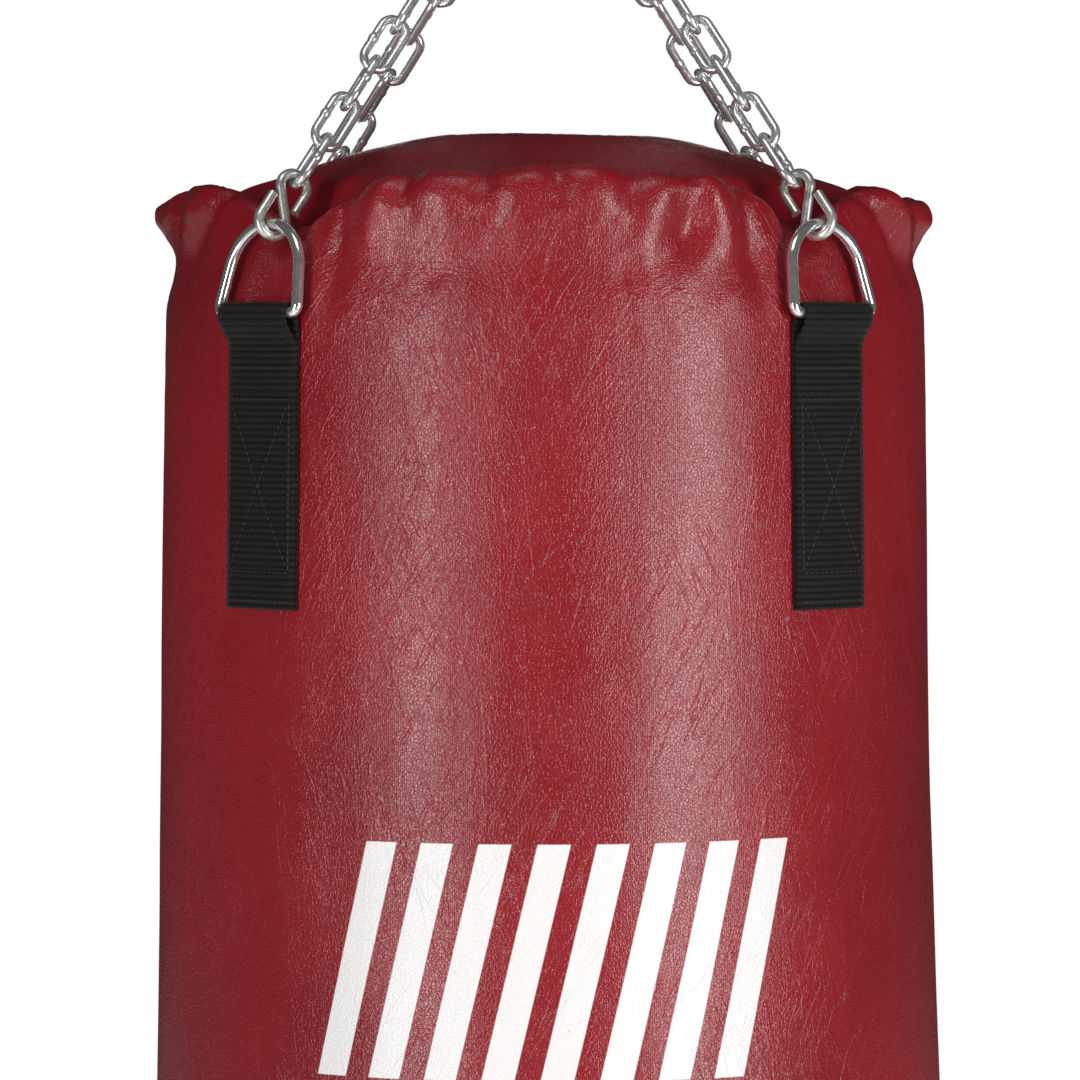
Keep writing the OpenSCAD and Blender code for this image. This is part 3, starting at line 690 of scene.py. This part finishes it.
def press_dents(points):
    """Pushes points (x, y, height) clear of the D-rings and the S-hooks at the four corners."""
    p = points.copy()
    lean = math.tan(math.radians(RING_LEAN))
    for name, (sx, sy) in CORNERS.items():
        out = np.array([sx, sy]) * math.sqrt(0.5)
        across = np.array([-out[1], out[0]])
        rho, t, h = p[:, :2] @ out, p[:, :2] @ across, p[:, 2]
        # behind the D-ring, the wall lies inside the ring's leaning plane
        wall = BAR_R - RING_WIRE_R - 1.9 - np.clip(h, 0, 60) * (lean + 0.05)
        reach = smooth_step(np.abs(t), 58, 24) * smooth_step(h, -14, 3)
        slack = np.where(rho > 90, 1.0, 0.0) * reach
        pushed = -smooth_max(-rho, -wall, 3.0)
        rho = rho + (pushed - rho) * slack
        p[:, :2] = np.outer(rho, out) + np.outer(t, across)
        # along the S-hook, a groove lies in line with the pull
        foot = np.array(FOOT[name]) - np.array([0, 0, BAR_Z])
        pull = np.array((SEAT[name] - FOOT[name]).normalized())
        level = np.cross(pull, [across[0], across[1], 0.0])
        level = level if level[2] < 0 else -level
        side = np.cross(level, pull)
        q = p - foot
        depth, sideways, along = q @ level, q @ side, q @ pull
        need = 11.6 - sideways ** 2 / 34.0
        active = smooth_step(along, -34, -6) * smooth_step(along, 120, 60)
        near = np.linalg.norm(q, axis=1) < 120
        pushed = smooth_max(depth, need, 6.0)
        p += np.outer((pushed - depth) * active * near, level)
    return p


def gather(points):
    """Presses the gathers into points (x, y, height) of the crown, along the radius."""
    angle = polar(points)[0]
    shift = np.zeros(len(points))
    for at, height, half, tall, depth, slant in GATHERS:
        da = wrap_degrees(angle - at) - slant * (points[:, 2] - height)
        dh = (points[:, 2] - height) / tall
        dh = np.where(dh > 0, dh * 0.75, dh)
        ridge = np.exp(-np.abs(da / half) ** 1.7) * np.exp(-dh ** 2)
        shift -= depth * ridge
    keep = 1 - 0.75 * corner_pull(angle, 9)
    out = push_out(points, shift * keep)
    out[:, 2] += 0.35 * shift * keep * smooth_step(points[:, 2], 38, 54)
    return out


def uneven(points):
    """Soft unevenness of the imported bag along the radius, with long upright folds and a crumpled crown."""
    angle = np.arctan2(points[:, 0], -points[:, 1])

    def on_roll(heights):
        return np.stack([np.cos(angle) * 170, np.sin(angle) * 170, heights], 1)

    broad = fractal(on_roll(points[:, 2] * 0.45), 95.0, 1)
    folds = 0.35 * fractal(on_roll(points[:, 2] * 0.12), 24.0, 2)
    crumple = fractal(on_roll(points[:, 2] * 0.8 + 22 * angle), 15.0, 3)
    near_top = np.exp(-((points[:, 2] - 30) / 42) ** 2)
    ridged = 0.9 - 2.2 * np.abs(crumple)
    return push_out(points, broad + folds * (1 - 0.4 * near_top) + 0.42 * near_top * ridged)


def packed(points):
    """The gathers and the unevenness, which fade out towards the base."""
    fade = smooth_step(points[:, 2], FOOT_H + 6, FOOT_H + 70)[:, None]
    return points + (uneven(gather(points)) - points) * fade


LEAN = 3.4


def lean_right(points):
    """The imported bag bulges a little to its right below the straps, and meets its base again."""
    below = -points[:, 2]
    out = points.copy()
    reach = smooth_step(below, 150, 420) * smooth_step(below, -FOOT_H - 20, -FOOT_H - 320)
    out[:, 0] += LEAN * reach * smooth_step(points[:, 0], -100, 140)
    return out


def under_straps(angle, out, full):
    """1 within full degrees of a strap's middle line, 0 beyond out degrees."""
    hold = np.zeros(len(angle))
    for c in CORNER_ANGLES:
        hold = np.maximum(hold, smooth_step(np.abs(wrap_degrees(angle - c)), out, full))
    return hold


def held_by_straps(points):
    """Where the straps are sewn on, the cover keeps to the plain radius under them."""
    angle, radius = polar(points)
    radii = [NECK_R - 0.2, NECK_R + 0.2, BAG_R]
    plain = np.interp(-points[:, 2], [0, CROWN_FOOT, TAPER_DROP], radii) - 0.25
    hold = under_straps(angle, 13, 8.2)
    hold *= smooth_step(points[:, 2], 2, -6) * smooth_step(points[:, 2], -STRAP_L - 26, -STRAP_L - 4)
    return push_out(points, hold * (plain - radius))


ANGLES = 336
CROWN_ROWS, SIDE_ROWS, BEND_ROWS = 62, 78, 7


def cover_points():
    """The cover's outer surface as rows of points (x, y, height), from the crease down to the base."""
    angle = np.linspace(-180, 180, ANGLES, endpoint=False)
    crown = spline(crown_controls(angle), CROWN_ROWS)
    steps = np.linspace(0, 1, SIDE_ROWS + 1)[1:] ** 1.25
    low = FOOT_H + BASE_ROUND
    rings = [(float(side_radius(h)), h) for h in -CROWN_FOOT + (low + CROWN_FOOT) * steps]
    for a in np.linspace(0, 90, BEND_ROWS + 1)[1:]:
        r = BAG_R - BASE_ROUND + BASE_ROUND * math.cos(math.radians(a))
        rings.append((r, low - BASE_ROUND * math.sin(math.radians(a))))
    rings.append((BAG_R - BASE_ROUND - 4, FOOT_H + 0.6))
    rows = [crown[:, i] for i in range(CROWN_ROWS)]
    rows += [np.tile(np.array(ring, float), (ANGLES, 1)) for ring in rings]
    table = np.stack(rows, 0)
    a = np.radians(angle)[None, :]
    r = table[..., 0]
    return np.stack([r * np.sin(a), -r * np.cos(a), table[..., 1]], -1)


def to_frame(points):
    """Points (x, y, height above the bars) in the frame's own coordinates, in millimetres."""
    out = np.array(points, float)
    out[:, 2] += BAR_Z
    return out


def cover_pins(points):
    """How firmly each point of the cover is held while it settles: 1 is fixed, 0 is free."""
    angle = polar(points)[0]
    low = smooth_step(points[:, 2], 50, 16)
    strap = under_straps(angle, 16, 10) * smooth_step(points[:, 2], 24, 8)
    row = np.arange(len(points)) // ANGLES
    seam = smooth_step(row, 16, 8)
    return np.maximum(np.maximum(low, strap), seam)


COVER_TRAVEL, TOP_TRAVEL = 5.0, 2.2
COVER_GROWTH, TOP_GROWTH = 0.02, 0.012
SETTLE_FRAMES = 20
PIN_LEVELS = 20
CLOTH = {
    "quality": 5,
    "mass": 0.3,
    "tension_stiffness": 20,
    "compression_stiffness": 20,
    "shear_stiffness": 8,
    "bending_stiffness": 0.3,
    "use_pressure": True,
    "uniform_pressure_force": 4,
}


def settle(obj, pins, travel, growth):
    """Lets a padded panel settle as cloth pressed out by its filling; no point moves by more than travel mm."""
    group = obj.vertex_groups.new(name="held")
    levels = np.round(pins * PIN_LEVELS).astype(int)
    for level in range(1, PIN_LEVELS + 1):
        at = np.nonzero(levels == level)[0].tolist()
        if at:
            group.add(at, level / PIN_LEVELS, "REPLACE")
    modifier = obj.modifiers.new("settle", "CLOTH")
    for key, value in CLOTH.items():
        setattr(modifier.settings, key, value)
    modifier.settings.vertex_group_mass = group.name
    modifier.settings.shrink_min = -growth
    modifier.settings.effector_weights.gravity = 0
    modifier.point_cache.frame_start = 1
    modifier.point_cache.frame_end = SETTLE_FRAMES
    scene = bpy.context.scene
    for step in range(1, SETTLE_FRAMES + 1):
        scene.frame_set(step)
    settled = obj.evaluated_get(bpy.context.evaluated_depsgraph_get()).data
    after = np.empty(3 * len(pins))
    settled.vertices.foreach_get("co", after)
    obj.modifiers.remove(modifier)
    obj.vertex_groups.remove(group)
    scene.frame_set(1)
    before = np.empty(3 * len(pins))
    obj.data.vertices.foreach_get("co", before)
    before, after = before.reshape(-1, 3) / MM, after.reshape(-1, 3) / MM
    move = (after - before) * (1 - pins)[:, None]
    length = np.maximum(np.linalg.norm(move, axis=1), 1e-9)
    move *= (travel * np.tanh(length / travel) / length)[:, None]
    points = before + move
    points[:, 2] -= BAR_Z
    points = to_frame(press_dents(points)) * MM
    obj.data.vertices.foreach_set("co", points.ravel())
    obj.data.update()


shape = cover_points()
points = press_dents(held_by_straps(lean_right(packed(shape.reshape(-1, 3)))))
faces = grid_faces(len(shape), ANGLES, flip=True)
cover = add_mesh("cover_side_vinyl", to_frame(points), faces, red_cover, "bag")
settle(cover, cover_pins(points), COVER_TRAVEL, COVER_GROWTH)
thicken(cover, 1.4)
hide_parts("cover_side")


# ---- Top panel ----

def dome_height(r):
    """Plain height of the dome above the bars."""
    return DOME_H - DOME_R + np.sqrt(DOME_R ** 2 - np.square(r))


def clear_of_zip(x, y):
    """0 along the zip, whose tape is sewn to the plain dome, and 1 away from it."""
    zip_y = DOME_R * math.sin(math.radians(ZIP_TILT)) * np.sqrt(np.clip(1 - (x / DOME_R) ** 2, 0, 1))
    return np.clip(smooth_step(np.abs(y - zip_y), 15, 34) + smooth_step(np.abs(x), 84, 104), 0, 1)


SAG = 6.5
TOP_RINGS = 63


def sag(x, y):
    """The panel sinks a little between its middle and its seam."""
    return -SAG * smooth_step(np.hypot(x, y), 45, 122) * clear_of_zip(x, y)


def top_points():
    """The top panel as rings of points (x, y, height), from near its middle out to its seam."""
    angle = np.linspace(-180, 180, ANGLES, endpoint=False)
    crease = crease_radius(angle)
    a = np.radians(angle)
    out = []
    for share in np.linspace(0.0, 1.0, TOP_RINGS + 1)[1:] ** 0.8:
        r = crease * share + 0.6 * smooth_step(share, 0.97, 1.0)
        x, y = r * np.sin(a), -r * np.cos(a)
        h = dome_height(r) + sag(x, y)
        edge = rim_height(angle) - 16.0
        fall = smooth_step(r, crease - 22, crease)
        h = h + (edge - h) * fall ** 1.7
        out.append(np.stack([x, y, h], -1))
    return np.concatenate(out)


def ruffle(points):
    """Small radial gathers of the top panel, deepest at its seam."""
    angle, radius = polar(points)
    crease = crease_radius(angle)
    near = smooth_step(radius, crease - 42, crease - 3)
    wide = np.stack([np.cos(np.radians(angle)) * 150, np.sin(np.radians(angle)) * 150, radius * 0.25], 1)
    gathers = fractal(wide, 17.0, 5)
    broad = fractal(points, 70.0, 6)
    free = clear_of_zip(points[:, 0], points[:, 1])
    out = points.copy()
    out[:, 2] += free * (2.6 * near * gathers + 1.1 * broad * smooth_step(radius, 10, 60))
    return out


def top_pins(points):
    """The top panel is held at its seam, at its middle and along the zip."""
    angle, radius = polar(points)
    seam = smooth_step(radius, crease_radius(angle) - 9, crease_radius(angle) - 3)
    held = np.maximum(seam, smooth_step(radius, 50, 30))
    return np.maximum(held, 1 - clear_of_zip(points[:, 0], points[:, 1]))


points = press_dents(ruffle(top_points()))
centre = len(points)
points = np.vstack([points, [0, 0, DOME_H]])
faces = grid_faces(TOP_RINGS, ANGLES, flip=True)
faces += [(centre, j, (j + 1) % ANGLES) for j in range(ANGLES)]
top = add_mesh("top_panel_vinyl", to_frame(points), faces, red_top, "bag")
settle(top, top_pins(points), TOP_TRAVEL, TOP_GROWTH)
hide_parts("top_panel")


# ---- Base panel and its piping ----

BASE_RINGS, BASE_ANGLES = 40, ANGLES // 2


def base_disc():
    """The base panel, nearly flat, with a soft relief and its edge turned up a little."""
    verts = []
    reach = BAG_R - BASE_ROUND - 0.4
    for i in range(1, BASE_RINGS + 1):
        r = reach * i / BASE_RINGS
        for j in range(BASE_ANGLES):
            a = TAU * j / BASE_ANGLES
            verts.append((r * math.cos(a), r * math.sin(a), 0.0))
    centre = len(verts)
    verts.append((0, 0, 0.0))
    verts = np.array(verts, float)
    r = polar(verts)[1]
    relief = 0.5 * fractal(verts, 60.0, 8) * smooth_step(r, reach, reach - 25)
    rise = 0.4 * smooth_step(r, reach - 14, reach)
    verts[:, 2] = np.maximum(BASE_Z + 0.7 + relief + rise, BASE_Z + 0.05)
    faces = grid_faces(BASE_RINGS, BASE_ANGLES)
    faces += [(centre, (j + 1) % BASE_ANGLES, j) for j in range(BASE_ANGLES)]
    return verts, faces


base = add_mesh("base_panel_vinyl", *base_disc(), red_base, "bag")
thicken(base, 1.2)
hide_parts("base_panel")


PIPE_R, PIPE_STEPS, PIPE_BEATS = 2.25, 480, 160


def piping():
    """The round cord that covers the base seam, outside the middle of the rounded edge."""
    reach = BASE_ROUND + PIPE_R
    radius = BAG_R - BASE_ROUND + reach * math.sqrt(0.5)
    height = BASE_Z + BASE_ROUND - reach * math.sqrt(0.5)
    path, radii = [], []
    for i in range(PIPE_STEPS):
        a = TAU * i / PIPE_STEPS
        path.append((radius * math.cos(a), radius * math.sin(a), height))
        lumps = noise.noise(Vector((math.cos(a), math.sin(a), 0)) * 9)
        radii.append(PIPE_R - 0.1 + 0.05 * math.sin(a * PIPE_BEATS) + 0.05 * lumps)
    return tube(path, radii, 12, closed=True)


pipe = add_mesh("base_piping_cord", *piping(), piping_vinyl, "bag")
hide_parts("base_piping")


# ---- Stitches ----

STITCH_R, STITCH_RISE = 0.42, 0.35


def stitch(parts, start, end, out):
    """One thread stitch: a short bowed capsule between two points, raised along out."""
    start, end, out = Vector(start), Vector(end), Vector(out).normalized()
    path, radii = [], []
    for i in range(6):
        t = i / 5
        path.append(start.lerp(end, t) + out * (STITCH_RISE * math.sin(math.pi * t) - 0.12))
        radii.append(STITCH_R * (0.45 + 0.55 * math.sin(math.pi * min(max(t, 0.12), 0.88))))
    parts.add(*tube(path, radii, 6))


# ---- Webbing straps ----

STRAP_STEP = 0.35
STRAP_CLEAR = 0.3  # between the plain wall and the strap
LOOP_H = -16.0  # the loop's front layer lies flat from here down
WIDTH_STEPS = 12


def strap_path():
    """Middle line of one strap, from its back layer's end over the bar to its front layer's end, as points
    (radius, height, loop share, distance below the bar, side: -1 back, 0 round the bar, 1 front)."""
    back_r = STRAP_CLEAR + WEB_T / 2
    front_r = back_r + WEB_T
    loop_r = RING_WIRE_R + GAP + WEB_T / 2
    points = []
    for d in STRAP_L - np.arange(0, STRAP_L + LOOP_H + STRAP_STEP / 2, STRAP_STEP):
        points.append((wall_radius(d) + back_r, -d, 0.0, d, -1))
    low = points[-1][1]
    for t in np.linspace(0, 1, 36)[1:]:
        h = low + (0 - low) * t
        r = wall_radius(-h) + back_r
        goal = BAR_R - loop_r
        shared = float(smooth_step(t, 0.3, 0.95))
        points.append((r + (goal - r) * float(smooth_step(t, 0.45, 1.0)), h, shared, -h, -1))
    for a in np.radians(np.linspace(180, 0, 30)[1:]):
        points.append((BAR_R + loop_r * math.cos(a), loop_r * math.sin(a), 1.0, 0.0, 0))
    r, top = points[-1][:2]
    for t in np.linspace(0, 1, 42)[1:]:
        h = top + (LOOP_H - top) * t
        goal = wall_radius(-h) + front_r
        shared = 1 - float(smooth_step(t, 0.2, 0.95))
        points.append((r + (goal - r) * float(smooth_step(t, 0.12, 0.95)), h, shared, -h, 1))
    for d in np.arange(-LOOP_H + STRAP_STEP, STRAP_L, STRAP_STEP):
        points.append((wall_radius(d) + front_r, -d, 0.0, d, 1))
    return points


# The strap's section as (place across, face), along its outer face and back along its inner face
SECTION = [(-WEB_W / 2 + WEB_W * k / WIDTH_STEPS, 1) for k in range(WIDTH_STEPS + 1)]
SECTION += [(w, -1) for w, _ in reversed(SECTION)]


def strap_mesh(corner):
    """One folded strap with its ribs, worn a little uneven along its edges."""
    sx, sy = CORNERS[corner]
    out, across = corner_axes(corner)
    path = strap_path()
    verts = []
    n = len(SECTION)
    loop = [i for i, point in enumerate(path) if point[4] == 0]
    for i, (r, h, looped, below, side) in enumerate(path):
        a, b = path[max(i - 1, 0)], path[min(i + 1, len(path) - 1)]
        tangent = Vector((b[0] - a[0], b[1] - a[1])).normalized()
        normal = Vector((-tangent.y, tangent.x))
        turn = below / RIB_PITCH if side else LOOP_RIBS * (i - loop[0]) / len(loop)
        beat = abs(math.sin(math.pi * turn))
        rib = RIB_DEPTH * (beat - 0.55)
        end = min(i, len(path) - 1 - i)
        pinch = 1 - 0.5 * math.exp(-end / 1.5)
        wobble = 0.22 * noise.noise(Vector((i * STRAP_STEP * 0.06, sx * 3.1, sy * 1.7)))
        for w, face in SECTION:
            edge = abs(w) / (WEB_W / 2)
            half = (WEB_T / 2 + rib * (1 - edge ** 12)) * pinch * (1 - 0.35 * edge ** 10)
            wide = w * (1 + 0.028 * (beat - 0.5) * edge ** 6) + wobble
            bow = -(w * w) / (2 * NECK_R) * (1 - looped)
            rr = r + bow + normal.x * half * face
            hh = h + normal.y * half * face
            verts.append(out * rr + across * wide + Vector((0, 0, BAR_Z + hh)))
    faces = grid_faces(len(path), n)
    faces.append(tuple(range(n))[::-1])
    faces.append(tuple((len(path) - 1) * n + k for k in range(n)))
    return verts, faces


STITCH_PITCH, STITCH_INSET = 3.1, 2.6


def strap_stitches(corner):
    """Four cross rows, and the long rows and the cross of the sewn box, on a strap's front face."""
    out, across = corner_axes(corner)
    parts = Parts()

    def at(w, below):
        r = wall_radius(below) + STRAP_CLEAR + 2 * WEB_T + 0.08 - w * w / (2 * NECK_R)
        return out * r + across * w + Vector((0, 0, BAR_Z - below))

    def row(w0, b0, w1, b1):
        count = max(1, round(math.hypot(w1 - w0, b1 - b0) / STITCH_PITCH))
        for i in range(count):
            shares = (i + 0.12) / count, (i + 0.88) / count
            stitch(parts, *(at(w0 + (w1 - w0) * s, b0 + (b1 - b0) * s) for s in shares), out)

    edge = WEB_W / 2 - STITCH_INSET
    for below in (24.0, 37.5, 112.0, 124.5):
        row(-edge, below, edge, below)
    row(-edge + 1, 40, edge - 1, 109.5)
    row(edge - 1, 40, -edge + 1, 109.5)
    for side in (-1, 1):
        row(side * edge, 39, side * edge, 111)
    return parts


for corner in CORNERS:
    web = add_mesh("strap_webbing_" + corner, *strap_mesh(corner), black_webbing, "bag")
    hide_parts("strap_" + corner)
    sewn = strap_stitches(corner)
    add_mesh("strap_stitching_" + corner, sewn.verts, sewn.faces, black_thread, "bag")


# ---- Chains ----

LINK_HALF = LINK_W / 2 - LINK_WIRE_R  # from a link's middle to the middle of its wire
LEG_STEPS, ARC_STEPS = 20, 18


def link_path():
    """Middle line of a link in its own XZ plane: up one leg, round its top, down the other, round its foot."""
    run = LINK_L - 2 * LINK_WIRE_R - 2 * LINK_HALF
    points = []
    for sign, turn in ((1, 0.0), (-1, math.pi)):
        for i in range(LEG_STEPS):
            points.append((sign * LINK_HALF, sign * (-0.5 + (i + 0.5) / LEG_STEPS) * run))
        for i in range(ARC_STEPS):
            a = turn + math.pi * (i + 0.5) / ARC_STEPS
            points.append((LINK_HALF * math.cos(a), sign * run / 2 + LINK_HALF * math.sin(a)))
    return points


LINK_PATH = link_path()


def one_link(parts, origin, side, direction, seed, weld):
    """A link whose middle lies at origin; side is its width direction, and weld the size of its weld bead."""
    dice = random.Random(seed)
    weld_at = dice.choice((0.0, 0.0, 0.6)) * dice.choice((-1, 1))
    leg = dice.choice((-1, 1))
    path, radii = [], []
    for x, z in LINK_PATH:
        path.append(origin + side * x + direction * z)
        bead = 0.0
        if x * leg > LINK_HALF * 0.9:
            d = z - weld_at
            bead = 0.34 * math.exp(-(d / 1.5) ** 4) * (1 + 0.5 * noise.noise(Vector((z * 2.1, seed, 0.3))))
            bead -= 0.10 * math.exp(-((abs(d) - 2.3) / 0.6) ** 2)
        radii.append(LINK_WIRE_R - 0.02 + bead * weld)
    parts.add(*tube(path, radii, 18, closed=True))


PLAIN_LINKS = 3  # the links near the master ring, where four chains lie close, have no weld bead


def chain(corner, seed):
    """The links from the master ring to the S-hook, each a quarter turn and a share of the twist on."""
    seat, foot = SEAT[corner], FOOT[corner]
    direction = (foot - seat).normalized()
    side = direction.cross(Vector((1, 0, 0))).normalized()
    sx, sy = CORNERS[corner]
    up = -direction
    tangent = Vector((-sy, sx, 0)) * math.sqrt(0.5)
    outward = tangent.cross(up).normalized()
    turn = math.radians(-sx * sy * HOOK_TURN)
    hook_side = outward * math.cos(turn) + up.cross(outward) * math.sin(turn)
    last_side = direction.cross(hook_side)
    third = direction.cross(side)
    last_angle = math.degrees(math.atan2(last_side.dot(third), last_side.dot(side)))
    twist = (last_angle - 90 * (LINKS - 1) + 3690) % 180 - 90
    run = LINK_L - 2 * LINK_WIRE_R
    pitch = ((foot - seat).length - HOOK_RUN + SEAT_RISE - run) / (LINKS - 1)
    parts = Parts()
    for i in range(LINKS):
        a = math.radians(i % 2 * 90 + twist * i / (LINKS - 1))
        wide = side * math.cos(a) + third * math.sin(a)
        middle = seat + direction * (i * pitch - SEAT_RISE + run / 2)
        one_link(parts, middle, wide, direction, seed * 40 + i, 0.0 if i < PLAIN_LINKS else 1.0)
    return parts


for number, corner in enumerate(CORNERS):
    links = chain(corner, number)
    piece = add_mesh("chain_links_" + corner, links.verts, links.faces, zinc_chain, "chain_" + corner)
    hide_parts("chain_" + corner)


# ---- Seam tape at the back ----

TAPE_TOP, TAPE_DEGREES = 40.0, 8.0
TAPE_ROWS, TAPE_COLUMNS = 240, 12


def back_tape():
    """The tape over the upright seam: it follows the cover, and its edges lie lower than its middle."""
    low = FOOT_H + BASE_ROUND + 8
    points, rise = [], []
    for i in range(TAPE_ROWS):
        h = low + (TAPE_TOP - low) * i / (TAPE_ROWS - 1)
        r = wall_radius(-h)
        for k in range(TAPE_COLUMNS):
            place = k / (TAPE_COLUMNS - 1) - 0.5
            a = math.radians(180 + place * TAPE_DEGREES)
            points.append((r * math.sin(a), -r * math.cos(a), h))
            rise.append(0.9 - 0.5 * (abs(place) * 2) ** 8)
    moved = packed(np.array(points))
    radius = polar(moved)[1]
    moved[:, :2] *= ((radius + rise) / radius)[:, None]
    return to_frame(lean_right(moved)), grid_faces(TAPE_ROWS, TAPE_COLUMNS, wrap=False, flip=True)


tape = add_mesh("back_seam_tape_vinyl", *back_tape(), red_base, "bag")
thicken(tape, 0.9)
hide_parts("back_seam_tape")
